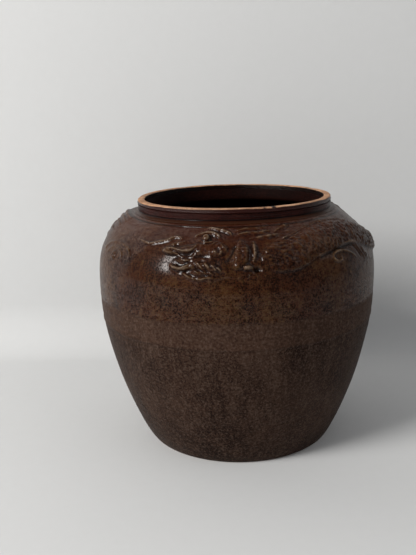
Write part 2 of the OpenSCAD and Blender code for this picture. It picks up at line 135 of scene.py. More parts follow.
# the dragons' sprigs: angle, drop, half width, height as a share of reliefH
reliefH = 4.0
mmPerDeg = 2.3
bodyStroke = [
    (9.8, 42, 4, 0.3), (11.8, 42.4, 11, 0.7), (15.5, 42.8, 14.2, 0.92), (22, 41, 15.5, 1), (30, 33.5, 15, 1),
    (38, 27.8, 15, 1), (46, 26, 15, 1), (53, 26.6, 15, 1), (60, 30.6, 14.5, 1), (66, 36.5, 13.5, 0.97),
    (72, 43, 12.6, 0.94), (78, 49, 11.8, 0.9), (85, 52.5, 10.8, 0.88), (91.5, 50.5, 9.6, 0.88),
    (97, 43, 8, 0.88), (101, 34, 6.4, 0.9), (104.6, 27, 4.4, 0.85), (106.6, 23.6, 1.8, 0.5),
]
bodyEnds = dict(chest=(0, 5), back=(5, 9), loin=(9, 13), tail=(13, 17))
strokes = dict(
    head=[[(-3, 33.2, 3, 0.5), (-6.5, 33, 7.6, 0.95), (-12, 33.3, 7.6, 1.15), (-17, 35, 5.8, 1.1),
           (-22, 36.3, 4.2, 1.05), (-26.5, 36.2, 3.6, 1), (-29, 36.8, 1.2, 0.6)]],
    brow=[[(-17.2, 20, 0.7, 0.4), (-15.2, 16.8, 1.3, 0.7), (-12, 15, 1.6, 0.85), (-8.6, 16.2, 1.9, 0.9),
           (-6.8, 19.4, 2, 0.85), (-6, 22.4, 1, 0.5)]],
    horn=[[(-13, 7.2, 0.6, 0.35), (-9.5, 8.8, 1.5, 0.7), (-5.5, 11.4, 1.7, 0.8), (-2.2, 14.8, 1.5, 0.7),
           (-1.4, 17.8, 0.7, 0.4)]],
    nostril=[[(-26.8, 30.4, 0.5, 0.3), (-25.7, 30, 1.3, 0.55), (-24.4, 30.3, 0.5, 0.3)]],
    tongue=[[(-10.5, 44.2, 0.5, 0.3), (-14, 43.6, 1, 0.45), (-18, 44.6, 1.4, 0.6), (-21, 45, 1.3, 0.55),
             (-22.8, 45, 0.5, 0.3)]],
    jaw=[[(-5, 52.6, 1.6, 0.5), (-8, 51, 3.6, 0.85), (-12.5, 49.2, 3.2, 0.95), (-16.5, 50.4, 2.7, 0.95),
          (-20, 52.6, 2, 0.9), (-23, 51.6, 1.4, 0.7), (-24.4, 49.6, 0.6, 0.4)]],
    beard=[[(-7.6, 56.6, 0.6, 0.3), (-10, 55.6, 1.3, 0.45), (-13, 55.4, 1.3, 0.45), (-16, 55, 0.6, 0.3)],
           [(-7, 58.6, 0.6, 0.3), (-10, 60, 1.3, 0.5), (-13, 61, 1.4, 0.55), (-16.5, 59.4, 1.2, 0.5),
            (-19.4, 56.6, 0.6, 0.3)]],
    whiskers=[[(-22.6, 22.6, 0.5, 0.3), (-24, 20.6, 1, 0.4), (-26.6, 21.4, 1.2, 0.5), (-29, 25, 1.3, 0.5),
               (-33, 28.2, 1.3, 0.5), (-37, 31, 1.2, 0.45), (-41, 29.6, 1.1, 0.4), (-45.4, 27.6, 0.6, 0.25)],
              [(-20.8, 24.6, 0.5, 0.3), (-22.2, 26.8, 0.9, 0.4), (-24.4, 28, 0.9, 0.4), (-26.4, 28.8, 0.5, 0.25)]],
    mane=[[(1, 10.5, 0.7, 0.3), (5, 9.2, 1.5, 0.5), (10, 8.8, 1.6, 0.5), (15, 7.4, 0.6, 0.25)],
          [(1, 16.5, 0.8, 0.3), (5, 15, 1.8, 0.55), (11, 14.5, 1.9, 0.55), (16, 12.4, 0.7, 0.3)],
          [(6, 21.8, 0.7, 0.3), (9.5, 20.6, 1.8, 0.55), (14.5, 20.4, 1.8, 0.55), (19.5, 17.8, 0.7, 0.3)]],
    cheek=[[(2.2, 23.5, 1.2, 0.35), (2.4, 28, 4.4, 0.6), (2.5, 35, 6.2, 0.75), (2, 43, 6.6, 0.8),
            (0.8, 49, 3.8, 0.6), (0, 53.4, 1.2, 0.35)]],
    foreleg=[[(7.2, 25, 0.9, 0.35), (7.4, 31, 1.6, 0.55), (7.4, 38, 1.8, 0.65), (7, 43, 1.6, 0.6),
              (6.4, 46.6, 0.9, 0.4)],
             [(2.6, 51.4, 0.8, 0.4), (3.6, 51, 2, 0.8), (5, 51.2, 2, 0.85), (6.2, 52, 0.8, 0.4)]],
    foreclaws=[[(3, 56.4, 0.6, 0.25), (1.6, 59, 0.9, 0.32), (-0.4, 60.6, 0.4, 0.2)],
               [(5, 56.8, 0.6, 0.25), (4.6, 60, 0.9, 0.32), (3.2, 62.6, 0.4, 0.2)],
               [(7, 56.8, 0.6, 0.25), (7.6, 60, 0.9, 0.32), (7, 63, 0.4, 0.2)]],
    hindleg=[[(60.2, 49.6, 1.2, 0.35), (61, 52.6, 3, 0.55), (62.6, 57.6, 2.9, 0.55), (64.4, 61.8, 1.9, 0.45),
              (65.2, 63.8, 0.8, 0.3)]],
    hindclaws=[[(62, 63.4, 0.5, 0.25), (60.6, 65, 0.8, 0.3), (59, 66, 0.4, 0.2)],
               [(64.2, 66, 0.5, 0.25), (63.6, 67.6, 0.8, 0.3), (62.4, 69, 0.4, 0.2)],
               [(67, 63.6, 0.5, 0.25), (68.4, 65.4, 0.8, 0.3), (69, 67.4, 0.4, 0.2)]],
    tail_tuft=[[(96.6, 15.6, 0.8, 0.5), (98.6, 11.2, 2.4, 0.9), (102.5, 8.8, 2.8, 0.95), (108, 7.8, 2, 0.75),
                (117, 7.4, 1.3, 0.45), (127.5, 7.4, 0.6, 0.25)],
               [(98.4, 24, 0.8, 0.5), (99.8, 19, 2.6, 0.9), (103.6, 15.2, 2.8, 0.95), (109.5, 13, 2, 0.7),
                (118, 11.8, 1.4, 0.5), (126.4, 13.6, 0.6, 0.25)],
               [(107.2, 19.4, 0.8, 0.4), (110, 18.8, 1.8, 0.7), (114, 18.2, 1.8, 0.6), (119, 18.2, 1.4, 0.5),
                (124.4, 19.6, 0.6, 0.25)],
               [(108.4, 29.6, 0.8, 0.4), (110.8, 27.6, 1.9, 0.6), (114.6, 26.8, 1.6, 0.5),
                (119, 28, 0.6, 0.25)],
               [(104, 40.8, 0.8, 0.4), (106.6, 38.2, 1.8, 0.6), (109.4, 39.6, 0.6, 0.25)]],
    flame=[[(17.6, 14.6, 0.7, 0.3), (20, 12, 1.7, 0.5), (23, 9.2, 2, 0.55), (26.5, 7.6, 0.8, 0.3)]],
    cloud=[[(54, 56.4, 0.7, 0.3), (51, 51.4, 1.2, 0.4), (47.2, 47.2, 1.3, 0.45), (42.8, 45.8, 1.3, 0.45),
            (40, 48.6, 1.2, 0.45), (40.2, 53, 1.2, 0.45), (42.5, 55.2, 1.1, 0.4), (44.4, 53.4, 1, 0.4),
            (43.7, 51.1, 0.6, 0.3)]],
    wave=[[(-69, 49, 0.8, 0.3), (-67.4, 43, 1.7, 0.45), (-63.5, 38.5, 1.8, 0.45), (-58, 36.6, 1.8, 0.45),
           (-52, 37.3, 1.8, 0.45), (-47.6, 40.6, 1.6, 0.4), (-45.8, 45.5, 0.7, 0.3)],
          [(-64.6, 50.5, 0.7, 0.3), (-63, 45.8, 1.4, 0.4), (-59.6, 42.9, 1.5, 0.4), (-55.5, 42.6, 1.5, 0.4),
           (-52, 45.2, 1.3, 0.4), (-50.8, 49.6, 0.6, 0.3)]],
    pearl=[[(-59.4, 50.5, 0.8, 0.3), (-58.6, 50.5, 3.4, 0.7), (-57.5, 50.5, 4.2, 0.8), (-56.4, 50.5, 3.4, 0.7),
            (-55.6, 50.5, 0.8, 0.3)]],
)
eyePlace = (-12.0, 21.6)
eyeR, eyeHigh = 3.4, 1.1
rearShorter, tailFrom, tailReach = 15.0, 52.0, 46.0


def smooth(points, t):
    # Catmull-Rom curve through a stroke's points
    p = np.array(points, float)
    n = len(p) - 1
    t = np.atleast_1d(np.asarray(t, float))
    i = np.minimum(np.floor(t).astype(int), n - 1)
    f = (t - i)[:, None]
    a, b, c, d = p[np.maximum(i - 1, 0)], p[i], p[i + 1], p[np.minimum(i + 2, n)]
    return 0.5*(2*b + (c - a)*f + (2*a - 5*b + 4*c - d)*f*f + (3*b - a - 3*c + d)*f**3)


def beside(points, t, off, w, h):
    c = smooth(points, t)[0]
    q = squareTo(points, [t])[0]
    k = math.copysign(c[2], off) + off
    return (c[0] + k*q[0]/mmPerDeg, c[1] + k*q[1], w, h)


def squareTo(points, t):
    n = len(points) - 1
    t = np.atleast_1d(np.asarray(t, float))
    d = smooth(points, np.minimum(t + 0.05, n)) - smooth(points, np.maximum(t - 0.05, 0))
    x = d[:, 0]*mmPerDeg
    length = np.hypot(x, d[:, 1])
    return np.stack([-d[:, 1]/length, x/length], -1)


strokes["ridge"] = [[beside(bodyStroke, t, -1.7, 1, 0.4) for t in range(3, 12)]]


class Stroke:
    # a stroke resampled along its length, with its frame in the strip's millimetres
    def __init__(self, points, first=0.0, last=None, step=0.6):
        last = len(points) - 1 if last is None else last
        t = np.linspace(first, last, 40*int(math.ceil(last - first)) + 1)
        c = smooth(points, t)
        x, y = c[:, 0]*mmPerDeg, c[:, 1]
        run = np.concatenate([[0], np.cumsum(np.hypot(np.diff(x), np.diff(y)))])
        n = max(6, int(math.ceil(run[-1]/step)))
        self.run = np.linspace(0, run[-1], n + 1)
        tt = np.interp(self.run, run, t)
        c = smooth(points, tt)
        self.x, self.y = c[:, 0]*mmPerDeg, c[:, 1]
        self.half, self.high = np.maximum(c[:, 2], 0.3), c[:, 3]*reliefH
        self.side = squareTo(points, tt)
        self.along = np.stack([self.side[:, 1], -self.side[:, 0]], -1)


# the relief as one height map of the strip, flooded with glaze
strip = dict(first=-74.0, last=131.0, low=0.0, high=74.0, da=0.19, ds=0.44)
angles = np.arange(strip["first"], strip["last"], strip["da"])
levels = np.arange(strip["low"], strip["high"], strip["ds"])
gridX, gridY = np.meshgrid(angles*mmPerDeg, levels)
rawRelief = np.zeros(gridX.shape)
insideDepth = np.full(gridX.shape, -9.0)


def crown(u):
    return np.power(np.clip(1 - u*u, 0, 1), 0.42)


def scales(run, off, half, length=4.6, width=4.4):
    # rows of overlapping scales, each a low dome with a crease at its free edge
    row = run/length
    i = np.floor(row)
    best = np.zeros(run.shape)
    for back in (0, 1):
        k = i - back
        lane = off/width + 0.5*np.mod(k, 2)
        centre = np.round(lane)
        d = np.hypot((row - k - 0.15)*1.0, (lane - centre)*1.25)
        dome = np.clip(1 - (d/0.95)**2, 0, 1)
        best = np.where(best > 0, best, np.where(d < 0.95, 0.35 + 0.65*dome, 0))
    return best - 0.6


def lockGrooves(off, half, count=3):
    return -0.5*(0.5 - 0.5*np.cos(2*math.pi*count*(off/half*0.5 + 0.5)))


def ridgeLine(x, y, points, width, height):
    # a raised or cut line through listed places, given in degrees and millimetres
    p = np.array(points, float)
    p = smooth(np.column_stack([p, p]), np.linspace(0, len(p) - 1, 14*len(p)))[:, :2]
    p[:, 0] *= mmPerDeg
    d = np.full(x.shape, 1e9)
    for q in p:
        d = np.minimum(d, (x - q[0])**2 + (y - q[1])**2)
    return height*np.exp(-d/width**2)


# lines modelled on the face and body: places, width and height in millimetres
marks = [
    ([(-27.2, 34.4), (-25, 35), (-22.5, 35.8), (-19.5, 36.8), (-17, 36.3), (-15, 32.4)], 0.75, 1.3),  # upper lip
    ([(-26.6, 36), (-23, 38.8), (-21, 41.2), (-19, 42), (-17, 41.6), (-15, 40)], 0.75, 1.2),
    ([(-25, 36.8), (-21.5, 38.9), (-18, 39.2), (-15.6, 36.6)], 1.0, -1.6),                           # fold between
    ([(-15, 42), (-13, 40.6), (-11, 42)], 0.8, -1.3),
    ([(-14.8, 24), (-12.6, 26.8), (-11, 27.2), (-8.6, 24.6), (-8.2, 21)], 0.7, 1.0),                 # lower eyelid
    ([(-13.6, 28.6), (-11.4, 29), (-8.8, 27.4)], 0.8, -1.3),
    ([(-8.6, 29.4), (-7.8, 27), (-7, 26.4)], 0.8, 1.1),
    ([(-5.2, 30), (-4.3, 33)], 0.8, 1.0),
    ([(-7.8, 36.6), (-7, 38)], 1.0, 1.0),
    ([(-5.2, 36.4), (-5.6, 39)], 0.9, 1.0),
    ([(-9.2, 40.6), (-8.6, 42.6)], 0.9, 0.8),
    ([(-6.6, 33), (-6.2, 36), (-7, 39)], 0.9, -1.0),
    ([(-16.4, 31), (-15.2, 31.6)], 1.1, 0.7),                                                        # bridge of the nose
    ([(-22.5, 50.5), (-21.4, 52.2), (-20, 52.5), (-18.4, 50), (-17, 48.6), (-14.6, 46.6), (-13.4, 48), (-12.4, 50.6)], 0.7, 1.5),
    ([(-22, 47), (-19.6, 49.6), (-17.6, 46.8)], 0.9, -1.2),                                          # mouth
    ([(-20.4, 44.4), (-18, 45.2), (-16, 44.4)], 1.0, 0.7),
    ([(-20.6, 55), (-18.4, 54.2), (-16.4, 52.4)], 1.0, -1.5),
    ([(-14.4, 50.2), (-13.6, 53)], 0.7, -1.1),
    ([(-10.8, 47.8), (-9.6, 50.6)], 0.9, 1.5),                                                       # curls of the beard
    ([(-8.4, 49.6), (-7, 52.6)], 0.9, 1.5),
    ([(-6.2, 51.4), (-5, 54.4)], 0.9, 1.4),
    ([(-4, 53.6), (-3.2, 56.6)], 0.8, 1.2),
    ([(-12.2, 51.6), (-11, 54.4)], 0.8, 1.2),
    ([(-9.8, 53.2), (-8.6, 56)], 0.8, 1.2),
    ([(-7.4, 54.8), (-6.2, 57.4)], 0.7, 1.0),
    ([(-15.4, 52.6), (-13.6, 55.6)], 0.8, 1.0),
    ([(-9.4, 48.6), (-8, 51.6)], 0.6, -1.2),
    ([(-7.2, 50.8), (-6, 53.6)], 0.6, -1.2),
    ([(-11, 51), (-9.8, 53.6)], 0.6, -1.1),
    ([(-18.2, 57.8), (-17, 60), (-15.4, 61.4), (-13, 62.4), (-11.4, 60.6), (-10, 59.6), (-7, 60.5), (-4, 58.6), (-1, 58.4)], 0.65, 1.0),
    ([(-17, 56.4), (-14, 59), (-11.6, 57.6), (-8.8, 58)], 0.7, -1.0),
    ([(0, 31), (-0.6, 34), (-1.6, 40), (-2.8, 45)], 1.1, -1.9),                                      # behind the jowl
    ([(7, 29), (7.2, 35), (6.9, 42)], 0.7, 0.6),
    ([(2, 34), (3, 39), (2.6, 44)], 1.2, -0.5),
    ([(8.2, 53.4), (7.6, 53.8)], 2.3, -3.6),                                                         # hole under the paw
    ([(3.4, 52.6), (5.6, 51)], 0.9, 1.4),
    ([(33, 46.4), (38, 43.4), (43.5, 41.6), (48, 40.6), (52, 40.2), (56.2, 43), (57.6, 48.6), (60, 57), (61.6, 62)], 0.8, 1.2),
    ([(34, 48.8), (39, 45.6), (44, 43.6), (49, 42.6), (53.4, 43.4), (55.4, 49), (57.6, 57)], 1.0, -0.9),
    ([(26, 22.6), (31, 17), (37, 12.6), (42.5, 11.3), (50.5, 11), (57, 13.5), (63.5, 19), (68, 24.5), (72.5, 30)], 0.8, 0.9),
    ([(42, 44.6), (46.5, 46.2), (50, 50.5), (52.5, 54.5)], 0.8, 0.6),
    ([(24, 10), (22.8, 6.6)], 1.4, 1.2),
]
# what is filled between the face's pieces: angle, drop, reach and height in millimetres
filling = [(-20, 45, 6, 1.5), (-15, 45, 8, 2.2), (-10, 46, 9, 2.3), (-9, 56, 6, 1.7), (-14, 57, 6, 1.6), (-5, 48, 7, 1.9),
           (-6, 24, 7, 1.6), (-14, 25, 7, 1.5), (0, 44, 8, 1.2)]


def drawMarks(field):
    # ridges and grooves on top of everything, each near its own line
    for a, s, reach, high in filling:
        field = np.maximum(field, high*np.exp(-((gridX - a*mmPerDeg)**2 + (gridY - s)**2)/reach**2))
    for points, width, height in marks:
        p = np.array(points, float)
        pad = 4*width
        cols = np.where((gridX[0] > p[:, 0].min()*mmPerDeg - pad) & (gridX[0] < p[:, 0].max()*mmPerDeg + pad))[0]
        rows = np.where((levels > p[:, 1].min() - pad) & (levels < p[:, 1].max() + pad))[0]
        box = np.ix_(rows, cols)
        field[box] += ridgeLine(gridX[box], gridY[box], points, width, height)
    return field


def combed(reachX, reachY, seed):
    # soft random strokes, longer one way than the other
    field = np.random.default_rng(seed).normal(size=gridX.shape)
    for axis, reach in ((0, reachY), (1, reachX)):
        field = blurred(field, reach, (axis,))
    return field/field.std()


def detail(name, x, y, run, off, half, high):
    # what the modeller's tool leaves on each kind of sprig, in millimetres
    if name in bodyEnds:
        edge = np.clip((half - np.abs(off))/3.5, 0, 1)
        belly = np.exp(-((off - 0.76*half)/1.2)**2)
        arch = np.exp(-((x/mmPerDeg - 42)/20)**2)
        return (0.40 + 0.22*arch)*scales(run, off, half, 3.6, 3.4)*edge - 0.35*belly
    if name in ("mane", "beard", "tail_tuft", "flame"):
        return 1.0*lockGrooves(off, half, 2)*np.clip(half/1.4, 0, 1)
    if name == "wave":
        return 0.6*lockGrooves(off, half, 2)
    if name == "whiskers":
        return 0.45*np.sin(2*math.pi*(run/2.6 + 0.35*off/half))
    if name == "cloud":
        return -0.4*np.exp(-(off/0.5)**2)
    if name == "pearl":
        d = np.hypot(x + 57.5*mmPerDeg, y - 50.5)
        return 0.35*np.cos(2*math.pi*d/1.9)
    if name == "ridge":
        return 0.5*np.abs(np.sin(math.pi*run/5.2)) - 0.3
    if name in ("foreleg", "hindleg"):
        return 0.3*scales(run, off, half, 3.2, 3.0)
    return np.zeros(x.shape)


def carve(name, stroke):
    pad = float(stroke.half.max()) + 1.2
    cols = np.where((angles*mmPerDeg > stroke.x.min() - pad) & (angles*mmPerDeg < stroke.x.max() + pad))[0]
    rows = np.where((levels > stroke.y.min() - pad) & (levels < stroke.y.max() + pad))[0]
    box = np.ix_(rows, cols)
    x, y = gridX[box], gridY[box]
    nearest = np.full(x.shape, 1e9)
    which = np.zeros(x.shape, int)
    for k in range(len(stroke.x)):
        d = (x - stroke.x[k])**2 + (y - stroke.y[k])**2
        closer = d < nearest
        nearest = np.where(closer, d, nearest)
        which = np.where(closer, k, which)
    dx, dy = x - stroke.x[which], y - stroke.y[which]
    ahead = dx*stroke.along[which, 0] + dy*stroke.along[which, 1]
    off = dx*stroke.side[which, 0] + dy*stroke.side[which, 1]
    run = stroke.run[which] + ahead
    half = np.interp(run, stroke.run, stroke.half)
    high = np.interp(run, stroke.run, stroke.high)
    beyond = np.maximum(-run, run - stroke.run[-1])
    depth = np.where(beyond > 0, -beyond, half - np.abs(off))
    if name in ("hindleg", "hindclaws", "foreclaws"):
        high = 0.5*high                                                       # nearly flooded
    if name in bodyEnds:
        high = high*(0.42 + 0.58*np.clip((x/mmPerDeg - 9)/15, 0, 1))        # the chest sinks into the wall
    h = high*crown(np.abs(off)/half) + detail(name, x, y, run, off, half, high)*crown(off/half)
    h = np.where(depth > 0, np.maximum(h, 0.25), 0)
    rawRelief[box] = np.maximum(rawRelief[box], h)
    insideDepth[box] = np.maximum(insideDepth[box], depth)


def blurred(field, reach, axes=(0, 1)):
    # Gaussian blur with a reach in millimetres
    for axis, step in ((0, strip["ds"]), (1, strip["da"]*mmPerDeg)):
        if axis not in axes:
            continue
        n = int(math.ceil(3*reach/step))
        k = np.exp(-0.5*(np.arange(-n, n + 1)*step/reach)**2)
        k /= k.sum()
        padded = np.pad(field, [(n, n) if i == axis else (0, 0) for i in (0, 1)], mode="edge")
        field = sum(w*np.take(padded, np.arange(i, i + field.shape[axis]), axis=axis) for i, w in enumerate(k))
    return field


sprigStrokes = {name: [Stroke(p) for p in group] for name, group in strokes.items()}
for name, (first, last) in bodyEnds.items():
    sprigStrokes[name] = [Stroke(bodyStroke, first, last)]
for name in sprigStrokes:
    for stroke in sprigStrokes[name]:
        carve(name, stroke)
eyeGap = np.hypot(gridX - eyePlace[0]*mmPerDeg, gridY - eyePlace[1])
pellet = eyeHigh*reliefH - 0.5*eyeR + 0.5*eyeR*np.sqrt(np.clip(1 - (eyeGap/eyeR)**2, 0, 1))
rawRelief = np.where(eyeGap < eyeR, pellet, rawRelief)
insideDepth = np.maximum(insideDepth, eyeR - eyeGap)


# the clay is pinched and worn a little everywhere, and the coat and mane are combed
worn = 0.34*combed(2.2, 2.2, 3) + 0.17*combed(0.9, 0.9, 4)
rawRelief = rawRelief + worn*np.clip(rawRelief/2.2, 0, 1)
degrees = gridX/mmPerDeg
coat = np.exp(-((degrees - 14)/13)**4)*np.exp(-((gridY - 26)/23)**4)
rawRelief += 0.42*coat*combed(1.7, 0.65, 5)
back = np.exp(-((degrees - 62)/36)**4)*np.clip(rawRelief/2, 0, 1)
rawRelief += 0.26*back*combed(0.8, 0.6, 6)
glaze = dict(soften=0.36, fillet=2.1, filletH=0.68)
fillet = blurred(np.clip(rawRelief, 0, 2.4), glaze["fillet"])*glaze["filletH"]
softRelief = blurred(drawMarks(rawRelief), glaze["soften"])
reliefMap = np.where(softRelief < -0.2, softRelief, np.maximum(softRelief, fillet))
depthMap = insideDepth + 9
crestMap = softRelief - blurred(softRelief, 1.3)
print("relief map", reliefMap.shape, "highest", round(float(reliefMap.max()), 2), "mm")


def shorter(a):
    # where a place on the full dragon lies on the shorter rear one
    return a - rearShorter*np.clip((a - tailFrom)/tailReach, 0, 1)


def longer(a):
    stretched = tailFrom + (a - tailFrom)*tailReach/(tailReach - rearShorter)
    return np.where(a < tailFrom, a, np.where(a > tailFrom + tailReach - rearShorter, a + rearShorter, stretched))


def sampleStrip(field, a, s):
    # smooth reading of a map of the strip, with nothing beyond its ends
    rows, cols = field.shape
    u = (a - strip["first"])/strip["da"]
    v = np.clip((s - strip["low"])/strip["ds"], 0, rows - 1.001)
    inside = (u > 1) & (u < cols - 3) & (s < strip["high"] - 1)
    u = np.clip(u, 1, cols - 3)
    i, j = np.floor(u).astype(int), np.floor(v).astype(int)
    fu, fv = u - i, v - j

    def weights(f):
        return (-0.5*f + f*f - 0.5*f**3, 1 - 2.5*f*f + 1.5*f**3, 0.5*f + 2*f*f - 1.5*f**3, -0.5*f*f + 0.5*f**3)

    total = 0
    for dj, wv in zip((-1, 0, 1, 2), weights(fv)):
        row = np.clip(j + dj, 0, rows - 1)
        for di, wu in zip((-1, 0, 1, 2), weights(fu)):
            total = total + wv*wu*field[row, i + di]
    return np.where(inside, total, 0)


def sample(field, a, s):
    # both dragons round the jar, whichever stands out more
    a, s = np.broadcast_arrays(a, s)
    first = strip["first"]
    own = np.mod(a - first, 360) + first
    worn = 0.62*np.exp(-((own - 100)/9)**4) + 0.45*np.exp(-((own + 62)/14)**4)      # tail and waves are worn
    front = sampleStrip(field, own, s)*(1 - worn)
    own = longer(np.mod(a - 180 - first, 360) + first)
    rear = sampleStrip(field, own, s)*(1 - 0.55*np.exp(-((own - 102)/14)**4)*np.clip((46 - s)/8, 0, 1))
    return np.where(np.abs(rear) > np.abs(front), rear, front)


def wallHeight(a, s):
    # the wall's own surface, which dips under each sprig
    relief = sample(reliefMap, a, s)
    dip = np.clip((sample(depthMap, a, s) - 9.8)/1.2, 0, 1)
    return unevenness(a, s) + relief - dip*np.clip(relief, 0, 1.2)


# meshes
def makeMesh(name, verts, faces, materials, crest=None, faceMaterial=None, sharp=None):
    mesh = bpy.data.meshes.new(name)
    mesh.vertices.add(len(verts))
    mesh.vertices.foreach_set("co", np.asarray(verts, np.float32).ravel())
    sizes = np.array([len(f) for f in faces]) if not isinstance(faces, np.ndarray) else np.full(len(faces), faces.shape[1])
    loops = np.concatenate([np.asarray(f) for f in faces]) if not isinstance(faces, np.ndarray) else faces.ravel()
    mesh.loops.add(len(loops))
    mesh.loops.foreach_set("vertex_index", loops.astype(np.int32))
    mesh.polygons.add(len(sizes))
    mesh.polygons.foreach_set("loop_start", np.concatenate([[0], np.cumsum(sizes)[:-1]]).astype(np.int32))
    for m in materials:
        mesh.materials.append(m)
    if faceMaterial is not None:
        mesh.polygons.foreach_set("material_index", np.asarray(faceMaterial, np.int32))
    mesh.update(calc_edges=True)
    mesh.validate()
    mesh.polygons.foreach_set("use_smooth", np.ones(len(mesh.polygons), bool))
    crestLayer = mesh.attributes.new("crest", "FLOAT", "POINT")
    crestLayer.data.foreach_set("value", np.zeros(len(verts), np.float32) if crest is None else crest.astype(np.float32))
    if sharp:
        mesh.set_sharp_from_angle(angle=math.radians(sharp))
    piece = bpy.data.objects.new(name, mesh)
    bpy.context.collection.objects.link(piece)
    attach(piece, "root")
    return piece


def gridFaces(rows, cols, wrapRows, wrapCols):
    i = np.arange(rows if wrapRows else rows - 1)
    j = np.arange(cols if wrapCols else cols - 1)
    i, j = np.meshgrid(i, j, indexing="ij")
    i, j = i.ravel(), j.ravel()
    k, l = (i + 1) % rows, (j + 1) % cols
    return np.stack([i*cols + j, k*cols + j, k*cols + l, i*cols + l], -1)


def innerSurface(a, s):
    rad = np.radians(a)
    t = wallThickness(s)
    marks = 0.3*np.sin(2*math.pi*s/9.1 + 0.8*np.sin(rad)) + 0.12*np.sin(2*math.pi*s/3.9 + np.cos(2*rad))
    fade = np.clip((totalDrop - 14 - s)/10, 0, 1)*np.clip(s/8, 0, 1)
    return -t + 0.55*marks*fade


def wallCourse(node, top, low, outer, inner, capTop=None, capLow=None):
    # one closed ring of wall: the outside with its relief, then the inside, then round again
    a = np.arange(columns)*360/columns
    sOut = np.linspace(top, low, int(math.ceil((low - top)/1.15)) + 1)
    sIn = np.linspace(low, top, int(math.ceil((low - top)/3.5)) + 1)
    gridA, gridS = np.meshgrid(a, sOut)
    outside = onWall(gridA, gridS, wallHeight(gridA, gridS))
    # the turned groove's crest is lowered, so the glaze paints it dark as painted shade
    crest = sample(crestMap, gridA, gridS) - 0.9*np.exp(-((gridS - 4.4)/0.9)**2)
    gridA, gridS = np.meshgrid(a, sIn)
    inside = onWall(gridA, gridS, innerSurface(gridA, gridS))
    if capLow:
        inside = capLow(inside, a)
    rings = [outside, inside]
    if capTop:
        rings.append(capTop(a))
    verts = np.concatenate(rings)
    rows = verts.shape[0]
    faces = gridFaces(rows, columns, True, True)
    band = np.repeat(np.arange(rows), columns)
    material = np.where(band < len(sOut) - 1, 0, 1)
    crest = np.concatenate([crest.ravel(), np.zeros((rows - len(sOut))*columns)])
    piece = makeMesh(node + "_glazed", verts.reshape(-1, 3), faces, [outer, inner], crest, material, sharp=55)
    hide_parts(node)
    return piece


# shader sums
class Value:
    # a socket that can be added, multiplied and so on, also with plain numbers
    def __init__(self, finish, socket):
        self.finish, self.socket = finish, socket

    def sum(self, operation, other, swapped=False):
        pair = (other, self) if swapped else (self, other)
        return self.finish.add("ShaderNodeMath", {"operation": operation}, {0: pair[0], 1: pair[1]})

    def __add__(self, other): return self.sum("ADD", other)
    def __radd__(self, other): return self.sum("ADD", other, True)
    def __sub__(self, other): return self.sum("SUBTRACT", other)
    def __rsub__(self, other): return self.sum("SUBTRACT", other, True)
    def __mul__(self, other): return self.sum("MULTIPLY", other)
    def __rmul__(self, other): return self.sum("MULTIPLY", other, True)
    def __truediv__(self, other): return self.sum("DIVIDE", other)
    def __rtruediv__(self, other): return self.sum("DIVIDE", other, True)
    def __pow__(self, other): return self.sum("POWER", other)
    def __neg__(self): return self.sum("MULTIPLY", -1.0)


class Finish:
    # one material, whose nodes all come from add
    def __init__(self, name):
        self.material = bpy.data.materials.new(name)
        self.material.use_nodes = True
        self.tree = self.material.node_tree
        self.tree.nodes.clear()

    def add(self, kind, settings=None, sockets=None, out=0):
        node = self.tree.nodes.new(kind)
        for key, value in (settings or {}).items():
            if key == "stops":
                ramp = node.color_ramp.elements
                while len(ramp) < len(value):
                    ramp.new(0.5)
                for element, (place, colour) in zip(ramp, value):
                    element.position = place
                    element.color = colour if len(colour) == 4 else (*colour, 1)
            else:
                setattr(node, key, value)
        for key, value in (sockets or {}).items():
            socket = node.inputs[key]
            if isinstance(value, Value):
                self.tree.links.new(value.socket, socket)
            else:
                socket.default_value = (*value, 1) if isinstance(value, tuple) and len(value) == 3 and socket.type == "RGBA" else value
        return Value(self, node.outputs[out]) if node.outputs else None

    def step(self, value, low, high):
        # 0 below low, 1 above high, and a smooth rise between
        return self.add("ShaderNodeMapRange", {"interpolation_type": "SMOOTHSTEP"},
                        {0: value, 1: low, 2: high, 3: 0.0, 4: 1.0})

    def mix(self, first, second, share):
        return self.add("ShaderNodeMix", {"data_type": "RGBA"}, {0: share, 6: first, 7: second}, out=2)

    def noise(self, place, scale, detail=3.0, rough=0.55, warp=0.0):
        return self.add("ShaderNodeTexNoise", {}, {"Vector": place, "Scale": scale, "Detail": detail,
                                                   "Roughness": rough, "Distortion": warp})

    def bump(self, height, depth, under=None):
        sockets = {"Height": height, "Distance": depth, "Strength": 1.0}
        if under is not None:
            sockets["Normal"] = under
        return self.add("ShaderNodeBump", {}, sockets)

    def close(self, sockets):
        shader = self.add("ShaderNodeBsdfPrincipled", {}, sockets)
        self.add("ShaderNodeOutputMaterial", {}, {0: shader})
        return self.material


# finishes
glossGlaze = dict(
    poolAndShade=(0.0060, 0.0018, 0.0008), brown=(0.038, 0.0098, 0.0024), ochre=(0.075, 0.036, 0.0090),
    red=(0.052, 0.0105, 0.0040), thinAndHighlight=(0.19, 0.134, 0.092), speckMm=1.2, roughness=0.36, gloss=0.03,
    coat=0.50, coatRoughness=0.17,
)
satinGlaze = dict(
    dark=(0.0110, 0.0056, 0.0040), brown=(0.050, 0.0275, 0.0188), grey=(0.085, 0.057, 0.043), band=(0.062, 0.033, 0.022),
    speckMm=1.6, roughness=0.46, gloss=0.14,
)
zones = dict(borderZ=0.1653, seamZ=0.140)       # the glaze's lower edge, and the ring below it


